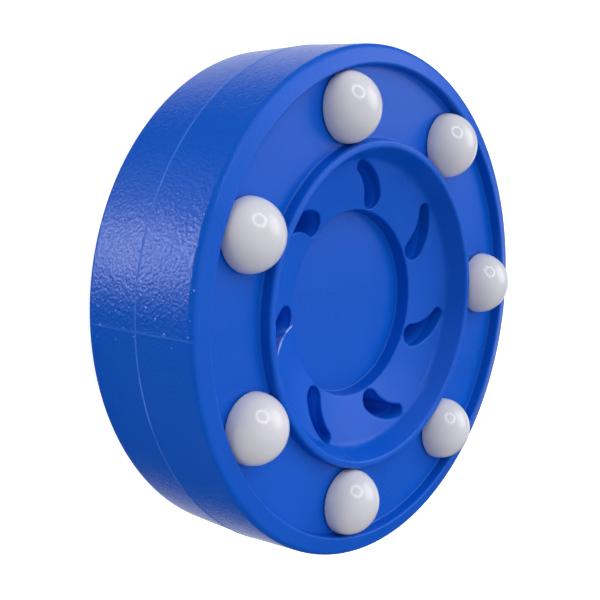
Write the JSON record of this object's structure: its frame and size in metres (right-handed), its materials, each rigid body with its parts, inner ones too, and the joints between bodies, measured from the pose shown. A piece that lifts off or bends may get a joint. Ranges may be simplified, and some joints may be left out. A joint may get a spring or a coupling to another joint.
{
  "type": "roller hockey puck",
  "caption": "Roller hockey puck: a thick moulded disc with a vented centre recess on both faces and domed nylon runners that stand in a channel and pass right through.",
  "frame": {"origin": "on the puck's axis, at the level of the tips of the lower runner heads that it rests on", "axes": "+Z along the puck's axis, towards the face with the pin heads; +X through the first runner"},
  "size_m": [0.0762, 0.0762, 0.0288],
  "materials": {
    "body_plastic": "fine spark-eroded grain on the side wall, satin on the faces",
    "runner_nylon": "smooth gloss"
  },
  "bodies": {
    "root": {"puck_body": "body_plastic", "runner_pin_1": "runner_nylon", "runner_socket_1": "runner_nylon", "runner_pin_2": "runner_nylon", "runner_socket_2": "runner_nylon", "runner_pin_3": "runner_nylon", "runner_socket_3": "runner_nylon", "runner_pin_4": "runner_nylon", "runner_socket_4": "runner_nylon", "runner_pin_5": "runner_nylon", "runner_socket_5": "runner_nylon", "runner_pin_6": "runner_nylon", "runner_socket_6": "runner_nylon", "runner_pin_7": "runner_nylon", "runner_socket_7": "runner_nylon"}
  },
  "joints": []
}
